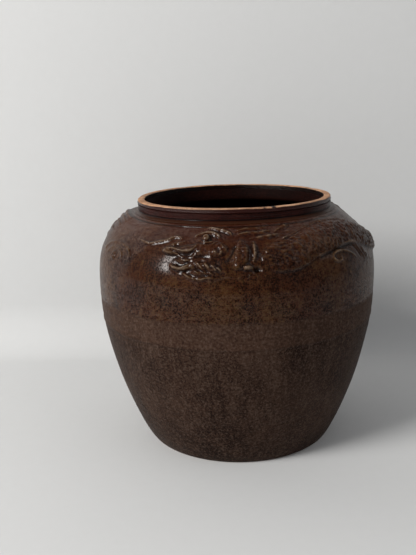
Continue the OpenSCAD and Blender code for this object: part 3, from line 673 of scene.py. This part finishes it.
def makeGlaze():
    # one coat over the whole outside: glossy and mottled above, thin and dull below the border
    g, low = glossGlaze, satinGlaze
    f = Finish("martaban_glaze")
    place = f.add("ShaderNodeTexCoord", {}, {}, out=3)
    split = f.add("ShaderNodeSeparateXYZ", {}, {0: place})
    z = Value(f, split.socket.node.outputs[2])
    crest = f.add("ShaderNodeAttribute", {"attribute_name": "crest"}, {}, out=2)
    broad = f.noise(place, 11, 3)
    patch = f.noise(place, 48, 4, 0.6)
    mottle = f.noise(place, 300, 4, 0.62, 0.4)
    speck = f.noise(place, 1000/g["speckMm"], 3, 0.6)
    fine = f.noise(place, 2000/g["speckMm"], 2, 0.6)
    stretched = f.add("ShaderNodeMapping", {}, {"Vector": place, "Scale": (1.0, 1.0, 0.10)})
    streak = f.noise(stretched, 105, 4, 0.6)
    thinStreak = f.noise(stretched, 340, 3, 0.6)

    # upper glaze
    body = f.mix(g["poolAndShade"], g["brown"], f.step(speck + 0.35*(patch - 0.5) + 0.3*(mottle - 0.5), 0.37, 0.58))
    gold = f.step(fine*0.35 + mottle*0.45 + 0.2*patch + 0.5*(broad - 0.5), 0.46, 0.62)
    body = f.mix(body, g["ochre"], gold*0.55)
    ruddy = f.step(z, 0.222, 0.252)*0.75 + f.step(broad, 0.50, 0.66)*0.35
    body = f.mix(body, g["red"], ruddy*0.55)
    body = f.mix(body, g["ochre"], f.step(crest, 0.06, 0.6)*0.42)
    # painted highlight: pale lines on the sharpest crests, where the glaze also breaks thin
    body = f.mix(body, g["thinAndHighlight"], f.step(crest, 0.40, 0.95)*0.45)
    # dark pooled glaze in creases, grooves and the hole under the paw, deepened to near-black as painted shade
    body = f.mix(body, g["poolAndShade"], f.step(crest*-1.0, 0.05, 0.5)*0.78)

    # lower glaze
    dull = f.mix(low["dark"], low["brown"], f.step(speck*0.7 + mottle*0.1 + streak*0.2 + 0.3*(broad - 0.5), 0.40, 0.56))
    dull = f.mix(dull, low["grey"], f.step(streak*0.35 + thinStreak*0.35 + mottle*0.3, 0.48, 0.66)*0.5)
    dull = f.mix(dull, low["dark"], f.step(fine, 0.55, 0.68)*0.6)

    ragged = z + 0.005*(f.noise(place, 26, 4, 0.6) - 0.5) + 0.002*(mottle - 0.5)
    upper = f.step(ragged, zones["borderZ"] - 0.0028, zones["borderZ"] + 0.0022)
    bandTone = f.step(ragged, zones["seamZ"] - 0.003, zones["seamZ"] + 0.003)*(1 - upper)
    dull = f.mix(dull, low["band"], bandTone*0.5)
    blot = f.noise(place, 430, 2, 0.5)
    dull = f.mix(dull, low["dark"], f.step(blot, 0.52, 0.64)*0.44)
    dull = f.mix(dull, low["grey"], f.step(blot*-1.0, -0.46, -0.34)*0.55)
    colour = f.mix(dull, body, upper)

    rough = low["roughness"] + (g["roughness"] - low["roughness"])*upper + 0.12*(patch - 0.5) + 0.12*(speck - 0.5)
    height = 0.5*speck + 0.35*mottle + 0.15*fine
    relief = f.bump(height, 0.0007)
    relief = f.bump(patch, 0.0012, relief)
    thick = (0.10 + 0.90*f.step(speck*0.6 + mottle*0.4, 0.44, 0.54))*g["coat"]*upper
    return f.close({"Base Color": colour, "Roughness": rough, "Specular IOR Level": g["gloss"], "Normal": relief,
                    "Coat Weight": thick, "Coat Roughness": g["coatRoughness"]})


def makeInnerGlaze():
    f = Finish("inner_glaze")
    place = f.add("ShaderNodeTexCoord", {}, {}, out=3)
    speck = f.noise(place, 700, 3)
    broad = f.noise(place, 20, 4)
    colour = f.mix((0.0040, 0.0010, 0.0007), (0.016, 0.0036, 0.0022), f.step(speck*0.6 + broad*0.4, 0.40, 0.64))
    return f.close({"Base Color": colour, "Roughness": 0.50 + 0.2*broad, "Specular IOR Level": 0.06,
                    "Normal": f.bump(speck + broad, 0.0005)})


def makeCollarGlaze():
    f = Finish("collar_glaze")
    place = f.add("ShaderNodeTexCoord", {}, {}, out=3)
    speck = f.noise(place, 800, 3)
    broad = f.noise(place, 30, 4)
    turned = f.add("ShaderNodeMapping", {}, {"Vector": place, "Scale": (0.25, 0.25, 3.0)})
    line = f.noise(turned, 300, 3)
    colour = f.mix((0.0085, 0.0014, 0.0009), (0.034, 0.0050, 0.0028), f.step(speck*0.5 + broad*0.5, 0.38, 0.64))
    colour = f.mix(colour, (0.055, 0.019, 0.010), f.step(line, 0.58, 0.72)*0.3)
    split = f.add("ShaderNodeSeparateXYZ", {}, {0: place})
    z = Value(f, split.socket.node.outputs[2])
    colour = f.mix((0.036, 0.0135, 0.0070), colour, f.step(z, 0.2524, 0.2534))
    # painted shade: a near-black band on the tight concave fillet at the collar's foot
    colour = f.mix(colour, (0.003, 0.001, 0.0008), f.step(z, 0.2529, 0.2535)*(1 - f.step(z, 0.2542, 0.2552))*0.85)
    return f.close({"Base Color": colour, "Roughness": 0.30 + 0.14*broad, "Specular IOR Level": 0.02,
                    "Coat Weight": 0.10 + 0.16*f.step(speck*0.5 + line*0.5, 0.36, 0.58), "Coat Roughness": 0.24,
                    "Normal": f.bump(0.6*speck + line, 0.0004)})


lipTone = dict(clay=(0.60, 0.345, 0.205), dusky=(0.27, 0.135, 0.068), stain=(0.20, 0.075, 0.036), glaze=(0.022, 0.0040, 0.0025),
               black=(0.012, 0.008, 0.007), inside=(0.006, 0.0022, 0.0016))


def makeLipClay():
    # bare only on its wiped top; the collar's glaze runs up outside and the inner glaze inside
    c = lipTone
    f = Finish("lip_clay")
    place = f.add("ShaderNodeTexCoord", {}, {}, out=3)
    split = f.add("ShaderNodeSeparateXYZ", {}, {0: place})
    x, y = (Value(f, split.socket.node.outputs[k]) for k in (0, 1))
    radius = (x*x + y*y)**0.5
    wiped = f.add("ShaderNodeAttribute", {"attribute_name": "crest"}, {}, out=2)
    broad = f.noise(place, 36, 4, 0.6)
    grain = f.noise(place, 900, 3)
    chip = f.noise(place, 210, 5, 0.7, 0.5)
    colour = f.mix(c["dusky"], c["clay"], f.step(broad*0.4 + grain*0.2 + chip*0.4, 0.42, 0.62))
    colour = f.mix(colour, c["stain"], f.step(chip, 0.58, 0.72)*0.7)
    dark = f.step(chip*0.8 - 0.2*wiped, 0.42, 0.50)
    bare = f.step(wiped + 0.5*(chip - 0.5) + 0.25*(broad - 0.5), 0.42, 0.58)
    around = f.mix(c["inside"], c["glaze"], f.step(radius, 0.0975, 0.0990))
    colour = f.mix(around, colour, bare)
    colour = f.mix(colour, c["black"], dark*bare)
    return f.close({"Base Color": colour, "Roughness": 0.26 + 0.4*bare, "Specular IOR Level": 0.16,
                    "Normal": f.bump(grain + chip, 0.0005)})


def makeBareClay():
    f = Finish("bare_clay")
    place = f.add("ShaderNodeTexCoord", {}, {}, out=3)
    broad = f.noise(place, 30, 5, 0.6)
    grain = f.noise(place, 800, 3)
    grit = f.noise(place, 260, 2)
    colour = f.mix((0.16, 0.088, 0.056), (0.34, 0.20, 0.13), f.step(broad*0.6 + grain*0.4, 0.34, 0.66))
    colour = f.mix(colour, (0.05, 0.032, 0.026), f.step(grit, 0.64, 0.72)*0.8)
    return f.close({"Base Color": colour, "Roughness": 0.86, "Normal": f.bump(grain + grit + broad, 0.0007)})


glazeFinish = makeGlaze()
innerFinish = makeInnerGlaze()
collarFinish = makeCollarGlaze()
lipFinish = makeLipClay()
clayFinish = makeBareClay()
print("finishes made")


# the thrown pieces
def turnedRings(profile, wave):
    # rings from a profile of radius and height in millimetres, made a little uneven
    a = np.arange(columns)*2*math.pi/columns
    rings = []
    for k, (r, z) in enumerate(profile):
        dr, dz = wave(a, k, r, z)
        rr = r + dr
        rings.append(np.stack([rr*np.sin(a), -rr*np.cos(a), z + dz], -1)*0.001)
    return np.array(rings)


drops = [dropOfHeight(z) for z in jar["joints"]]


def neckLand(a):
    # the level land under the collar and the throat below it
    profile = [(jar["boreR"] + 0.6*jar["throatH"], jar["shoulderZ"] - jar["throatH"] - 2),
               (jar["boreR"] + 0.3, jar["shoulderZ"] - jar["throatH"]),
               (jar["boreR"], jar["shoulderZ"] - jar["throatH"] + 0.6),
               (jar["boreR"], jar["shoulderZ"])]
    return turnedRings(profile, lambda a, k, r, z: (0*a, 0*a))


def footInside(inside, a):
    # the lowest ring of the inside stands on the base disc, drawn in a little at its foot
    inside = inside.copy()
    floor = jar["baseT"]*0.001
    below = inside[:, :, 2] < floor
    inside[:, :, 2] = np.where(below, floor, inside[:, :, 2])
    ring = inside[~below.any(1)][0]
    keep = inside[~below.any(1)]
    edge = ring.copy()
    edge[:, 2] = floor
    shrink = 0.994
    edge[:, :2] *= shrink
    return np.concatenate([edge[None], keep])


baseDrop = dropOfHeight(jar["baseT"])
wallCourse("foot_course", drops[0], baseDrop, glazeFinish, innerFinish, capLow=footInside)
wallCourse("flank_course", drops[1], drops[0], glazeFinish, innerFinish)
wallCourse("belly_course", drops[2], drops[1], glazeFinish, innerFinish)
wallCourse("shoulder_course", drops[3], drops[2], glazeFinish, innerFinish)
wallCourse("neck_course", 0.0, drops[3], glazeFinish, innerFinish, capTop=neckLand)
print("wall courses made")


def makeBaseDisc():
    a = np.arange(columns)*360/columns
    sOut = np.linspace(baseDrop, totalDrop - jar["bevel"], 10)
    gridA, gridS = np.meshgrid(a, sOut)
    side = onWall(gridA, gridS, unevenness(gridA, gridS))
    rad = np.radians(a)
    rings = [side]
    under = [jar["footR"] - jar["bevel"]*0.4, jar["footR"] - jar["bevel"]]
    heights = [0.45, 0.0]
    for r in np.linspace(jar["footR"] - 6, 4, 26):
        under.append(r)
        heights.append(0.35 + 0.25*math.sin(r/5.3) + 0.2*math.sin(r/2.1))
    for r, z in zip(under, heights):
        rings.append(np.stack([r*np.sin(rad), -r*np.cos(rad), np.full(columns, z)], -1)[None]*0.001)
    for r in np.linspace(4, jar["footR"] + 4, 30):
        z = jar["baseT"] - 0.3 + 0.25*math.sin(r/4.7)*min(1, (jar["footR"] - 8)/max(r, 1) - 0.9 if r > 90 else 1)
        rings.append(np.stack([r*np.sin(rad), -r*np.cos(rad), np.full(columns, min(z, jar["baseT"]))], -1)[None]*0.001)
    verts = np.concatenate(rings)
    rows = verts.shape[0]
    quads = gridFaces(rows, columns, False, True)
    # the two middles are closed with fans, and the last ring meets the first
    lowRow = len(sOut) + len(under) - 1
    quads = quads[(quads[:, 0]//columns != lowRow)]
    j = np.arange(columns)
    close = np.stack([(rows - 1)*columns + j, j, (j + 1) % columns, (rows - 1)*columns + (j + 1) % columns], -1)
    flat = verts.reshape(-1, 3)
    middles = np.array([[0, 0, heights[-1]*0.001], [0, 0, (jar["baseT"] - 0.3)*0.001]])
    n = len(flat)
    fanLow = [(lowRow*columns + k, n, lowRow*columns + (k + 1) % columns) for k in j]
    fanTop = [((lowRow + 1)*columns + (k + 1) % columns, n + 1, (lowRow + 1)*columns + k) for k in j]
    faces = [tuple(q) for q in quads] + [tuple(q) for q in close] + fanLow + fanTop
    material = [0 if q[0]//columns < len(sOut) - 1 else (1 if q[0]//columns <= lowRow else 2) for q in quads]
    material += [2]*columns + [1]*columns + [2]*columns
    piece = makeMesh("base_disc_beaten", np.vstack([flat, middles]), faces,
                     [glazeFinish, clayFinish, innerFinish], None, material, sharp=40)
    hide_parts("base_disc")


makeBaseDisc()


def rimTilt(a, z):
    # the rim stands a little higher and wider on the left
    up = np.clip((z - jar["shoulderZ"] - 1.5)/(jar["collarH"] - 1.5), 0, 1)
    return hand["rimTilt"]*(1 - np.sin(a))*up, 0.45*(1 - np.sin(a))*up


def collarWave(a, k, r, z):
    inside = r < jar["boreR"] + 0.5
    turning = 0.10*np.sin(z*2.3 + 0.7*np.sin(a)) + 0.06*np.sin(z*5.1 + a)
    rise, wide = rimTilt(a, z)
    flush = 1.2*np.abs(np.sin(a))*np.clip((z - jar["shoulderZ"] - 1)/2, 0, 1)
    return (turning + flush if not inside else 0.05*np.sin(z*3 + a)) + wide, rise


def makeCollar():
    j = jar
    n = 8
    top, foot = j["shoulderZ"] + j["collarH"], j["shoulderZ"] + 0.5
    tight, flangeR = 1.5, j["collarR"] + 1.7
    flangeZ = foot + 0.32*(j["neckR"] - flangeR)
    turn = np.linspace(0, math.pi/2, n + 1)
    profile = [(j["boreR"], top - (top - j["shoulderZ"])*i/6) for i in range(7)]
    profile += [(j["neckR"] - 0.4, j["shoulderZ"]), (j["neckR"], j["shoulderZ"] + 0.25)]
    profile += [(j["neckR"] - 0.3 + (flangeR - j["neckR"] + 0.3)*i/5, foot + (flangeZ - foot)*i/5) for i in range(5)]
    profile += [(flangeR + 0.1 - tight*math.sin(q), flangeZ + tight*(1 - math.cos(q))) for q in turn]
    last = profile[-1]
    profile += [(last[0] + (j["collarR"] - last[0])*i/6, last[1] + (top - last[1])*i/6) for i in range(1, 7)]
    verts = turnedRings(profile, collarWave)
    rows = len(profile)
    material = np.repeat([1 if r < j["boreR"] + 0.5 else 0 for r, z in profile], columns)
    piece = makeMesh("neck_collar_turned", verts.reshape(-1, 3), gridFaces(rows, columns, True, True),
                     [collarFinish, innerFinish], None, material, sharp=50)
    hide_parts("neck_collar")


# chips: place in degrees, width in degrees, depth in millimetres
lip = dict(chips=((22, 2.4, 1.5), (17.5, 2.2, 1.3), (13.5, 2.6, 1.3), (9.6, 1.3, 0.9), (-41, 2.2, 0.5), (64, 3.0, 0.9), (118, 4.0, 1.0),
                  (171, 2.6, 0.6), (216, 4.4, 0.8), (268, 2.8, 0.6)), wave=0.30, outerRound=1.5, innerRound=1.3,
           bead=0.35)


def makeLip():
    j = jar
    low, top = j["shoulderZ"] + j["collarH"], j["shoulderZ"] + j["collarH"] + j["lipH"]
    inner, outer = j["boreR"], j["boreR"] + j["lipW"]
    ro, ri, under, n = lip["outerRound"], lip["innerRound"], 1.6, 10
    turn = np.linspace(0, math.pi/2, n + 1)
    profile = [(inner, low), (inner + 0.5*(outer - inner), low), (outer - under, low)]
    profile += [(outer - under*(1 - math.sin(q)), low + under*(1 - math.cos(q))) for q in turn[1:]]
    profile += [(outer + lip["bead"]*math.exp(-((z - low - 1.9)/0.45)**2) - 0.25*(z - low - under)/3, z)
                for z in np.linspace(low + under + 0.15, top - ro - 0.2, 12)]
    profile += [(outer - 0.25 - ro*(1 - math.cos(q)), top - ro*(1 - math.sin(q))) for q in turn]
    profile += [(outer - 0.25 - ro - (outer - inner - ro - ri - 0.25)*i/6, top) for i in range(1, 6)]
    profile += [(inner + ri*(1 - math.sin(q)), top - ri*(1 - math.cos(q))) for q in turn]
    profile += [(inner, low + (top - ri - low)*(1 - i/4)) for i in (1, 2, 3)]
    wiped = np.zeros((len(profile), columns))
    lipRng = np.random.default_rng(7)

    def wander(reach):
        line = np.fft.ifft(np.fft.fft(lipRng.normal(size=columns))*np.exp(-(np.fft.fftfreq(columns)*reach)**2)).real
        return line/np.abs(line).max()

    jitter, slow, edge, nick = wander(22), wander(90), wander(30), wander(7)

    def wave(a, k, r, z):
        deg = (np.degrees(a) + 180) % 360 - 180
        up = np.clip((z - low - 1)/(top - low - 1), 0, 1)
        outside = r > 0.5*(inner + outer)
        dent = np.zeros(columns)
        for place, width, depth in lip["chips"]:
            gap = (deg - place + 180) % 360 - 180
            dent = dent + depth*np.exp(-(gap/width)**2)*(1 + 0.5*jitter)
        left = np.exp(-((deg + 70)/38)**2)
        reach = 0.75 + 0.4*slow + 0.35*edge + 0.7*left if outside else 0.7 + 0.3*edge
        wiped[k] = np.clip((z - (top - reach))/0.6 + 0.5, 0, 1) - 1.1*np.clip(dent - 0.3, 0, 1)*np.clip(0.55 + 1.2*nick, 0, 1)
        rise, wide = rimTilt(a, z)
        sway = lip["wave"]*(0.6*np.sin(2*a + 0.5) + 0.4*np.sin(3*a + 2))
        dr = 0.18*np.sin(5*a + 1)*up - dent*up*(0.42 if outside else -0.1) + 0.08*jitter*up + wide
        dz = sway*up*0.8 - dent*up*(0.5 if outside else 0.15) + 0.08*jitter*up - 0.75*up + rise
        return dr, dz

    verts = turnedRings(profile, wave)
    piece = makeMesh("lip_coil_wiped", verts.reshape(-1, 3), gridFaces(len(profile), columns, True, True),
                     [lipFinish], wiped.ravel(), None, sharp=60)
    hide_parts("lip_coil")


makeCollar()
makeLip()
print("collar, lip and base made")


# sprigs
margin = 1.0            # how far a sprig's skirt runs into the wall's glaze, in millimetres
seatDepth = 0.7         # how deep its back lies under the wall's surface


def sprigPatch(stroke, spacing=0.6):
    length = stroke.run[-1]
    run = np.linspace(-margin, length + margin, max(8, int(math.ceil((length + 2*margin)/spacing))) + 1)
    inner = np.clip(run, 0, length)
    x = np.interp(inner, stroke.run, stroke.x)
    y = np.interp(inner, stroke.run, stroke.y)
    along = np.stack([np.interp(inner, stroke.run, stroke.along[:, k]) for k in (0, 1)], -1)
    side = np.stack([np.interp(inner, stroke.run, stroke.side[:, k]) for k in (0, 1)], -1)
    half = np.interp(inner, stroke.run, stroke.half)
    x, y = x + (run - inner)*along[:, 0], y + (run - inner)*along[:, 1]
    across = max(6, int(math.ceil(2*(half.max() + margin)/spacing)))
    v = np.linspace(-1, 1, across + 1)
    off = v[None]*(half + margin)[:, None]
    a = (x[:, None] + off*side[:, 0][:, None])/mmPerDeg
    s = y[:, None] + off*side[:, 1][:, None]
    beyond = np.maximum(-run, run - length)[:, None]
    depth = np.minimum(half[:, None] - np.abs(off), np.where(beyond > -0.7, -beyond, 99))
    return a, s, np.clip((0.6 - depth)/1.6, 0, 1)


def pelletPatch():
    # the eye's skin as rings round its middle
    around = np.linspace(0, 2*math.pi, 41)
    out = np.linspace(0.12, eyeR + margin, 12)
    a = eyePlace[0] + out[:, None]*np.cos(around)[None]/mmPerDeg
    s = eyePlace[1] + out[:, None]*np.sin(around)[None]
    return a, s, np.clip((0.6 - (eyeR - out[:, None]))/1.6, 0, 1) + 0*a


def addSprig(name, dragon, turn):
    verts, faces, crest, count = [], [], [], 0
    for stroke in sprigStrokes.get(name, [None]):
        a, s, ramp = sprigPatch(stroke, 0.45 if stroke.run[-1] < 9 else 0.6) if stroke else pelletPatch()
        a = a if turn == 0 else shorter(a) + turn
        height = sample(reliefMap, a, s) + 0.02 - 0.55*ramp
        lift = unevenness(a, s)
        top = onWall(a, s, height + lift)
        bottom = onWall(a, s, np.minimum(-seatDepth, height - 0.25) + lift)
        rows, cols = a.shape
        n = rows*cols
        quads = gridFaces(rows, cols, False, False) + count
        under = gridFaces(rows, cols, False, False)[:, ::-1] + n + count
        rim = np.concatenate([np.arange(cols), np.arange(1, rows)*cols + cols - 1,
                              (rows - 1)*cols + np.arange(cols - 2, -1, -1), np.arange(rows - 2, 0, -1)*cols])
        after = np.roll(rim, -1)
        wall = np.stack([rim, after, after + n, rim + n], -1) + count
        verts += [top.reshape(-1, 3), bottom.reshape(-1, 3)]
        faces += [quads, under, wall]
        crest += [sample(crestMap, a, s).ravel(), np.zeros(n)]
        count += 2*n
    faces = np.concatenate(faces)
    piece = makeMesh("%s_dragon_%s_sprig" % (dragon, name), np.concatenate(verts), faces,
                     [glazeFinish], np.concatenate(crest))
    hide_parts("%s_dragon_%s" % (dragon, name))


for dragon, turn in (("front", 0.0), ("rear", 180.0)):
    for name in [*sprigStrokes, "eye"]:
        addSprig(name, dragon, turn)
    print(dragon, "dragon made")


# floor, backdrop and light
studio = dict(wallY=0.27, sweepR=0.07, front=-9.0, halfWidth=9.0, wallTop=2.6, tone=(0.635, 0.638, 0.637))


def makeStage():
    st = studio
    f = Finish("studio_paper")
    place = f.add("ShaderNodeTexCoord", {}, {}, out=3)
    tooth = f.noise(place, 90, 4)
    colour = f.mix(tuple(0.97*c for c in st["tone"]), st["tone"], tooth)
    front = f.add("ShaderNodeBsdfPrincipled", {}, {"Base Color": colour, "Roughness": 0.9, "Specular IOR Level": 0.15})
    behind = f.add("ShaderNodeNewGeometry", {}, {}, out=6)      # the sweep is clear when seen from its back
    clear = f.add("ShaderNodeBsdfTransparent", {}, {})
    f.add("ShaderNodeOutputMaterial", {}, {0: f.add("ShaderNodeMixShader", {}, {0: behind, 1: front, 2: clear})})
    n = 16
    profile = [(st["front"], 0.0), (st["wallY"] - st["sweepR"], 0.0)]
    profile += [(st["wallY"] - st["sweepR"] + st["sweepR"]*math.sin(math.pi/2*i/n),
                 st["sweepR"]*(1 - math.cos(math.pi/2*i/n))) for i in range(1, n + 1)]
    profile.append((st["wallY"], st["wallTop"]))
    verts = [(x, y, z) for y, z in profile for x in (-st["halfWidth"], st["halfWidth"])]
    faces = [(2*i, 2*i + 1, 2*i + 3, 2*i + 2) for i in range(len(profile) - 1)]
    # the floor goes on behind the sweep, for views from there
    count, start = len(verts), st["wallY"] - st["sweepR"]
    verts += [(x, y, -0.0005) for y in (start, -st["front"]) for x in (-st["halfWidth"], st["halfWidth"])]
    faces.append((count, count + 1, count + 3, count + 2))
    mesh = bpy.data.meshes.new("studio_sweep")
    mesh.from_pydata(verts, [], faces)
    mesh.materials.append(f.material)
    mesh.polygons.foreach_set("use_smooth", np.ones(len(faces), bool))
    sweep = bpy.data.objects.new("studio_sweep", mesh)
    bpy.context.collection.objects.link(sweep)


lights = dict(
    window=dict(azimuth=-53, elevation=31, distance=3.0, width=0.98, height=1.28, watts=93, colour=(1.0, 0.985, 0.96)),
    bounce=dict(azimuth=60, elevation=40, distance=2.6, width=2.0, height=1.8, watts=8, colour=(0.97, 0.98, 1.0)),
)


def makeLight(name, azimuth, elevation, distance, width, height, watts, colour):
    az, el = math.radians(azimuth), math.radians(elevation)
    target = Vector((0, 0, 0.15))
    away = Vector((math.sin(az)*math.cos(el), -math.cos(az)*math.cos(el), math.sin(el)))
    data = bpy.data.lights.new(name, "AREA")
    data.shape = "RECTANGLE"
    data.size, data.size_y, data.energy, data.color = width, height, watts, colour
    lamp = bpy.data.objects.new(name, data)
    lamp.location = target + away*distance
    lamp.rotation_euler = away.to_track_quat("Z", "Y").to_euler()
    bpy.context.collection.objects.link(lamp)


def makeWorld():
    world = bpy.data.worlds.new("studio_air")
    world.use_nodes = True
    bpy.context.scene.world = world
    sky = world.node_tree.nodes["Background"]
    sky.inputs[0].default_value = (0.97, 0.98, 1.0, 1)
    sky.inputs[1].default_value = 0.21


makeStage()
for name, values in lights.items():
    makeLight(name, **values)
makeWorld()

# camera, at the photograph's place and angle
shot = dict(place=(0.0, -0.75975, 0.36343), yaw=-2.355, down=14.065, roll=-1.926, focalPx=700.0, framePx=(416, 555))


def makeCamera():
    yaw, down, roll = (math.radians(shot[k]) for k in ("yaw", "down", "roll"))
    forward = Vector((math.sin(yaw)*math.cos(down), math.cos(yaw)*math.cos(down), -math.sin(down)))
    right = Vector((math.cos(yaw), -math.sin(yaw), 0))
    up = right.cross(forward)
    right, up = (math.cos(roll)*right + math.sin(roll)*up, math.cos(roll)*up - math.sin(roll)*right)
    data = bpy.data.cameras.new("photo_camera")
    data.sensor_width = 36
    data.lens = 36*shot["focalPx"]/max(shot["framePx"])
    camera = bpy.data.objects.new("photo_camera", data)
    camera.matrix_world = Matrix((
        (right.x, up.x, -forward.x, shot["place"][0]),
        (right.y, up.y, -forward.y, shot["place"][1]),
        (right.z, up.z, -forward.z, shot["place"][2]),
        (0, 0, 0, 1)))
    bpy.context.collection.objects.link(camera)
    bpy.context.scene.camera = camera


makeCamera()
bpy.context.scene.view_settings.view_transform = "Standard"
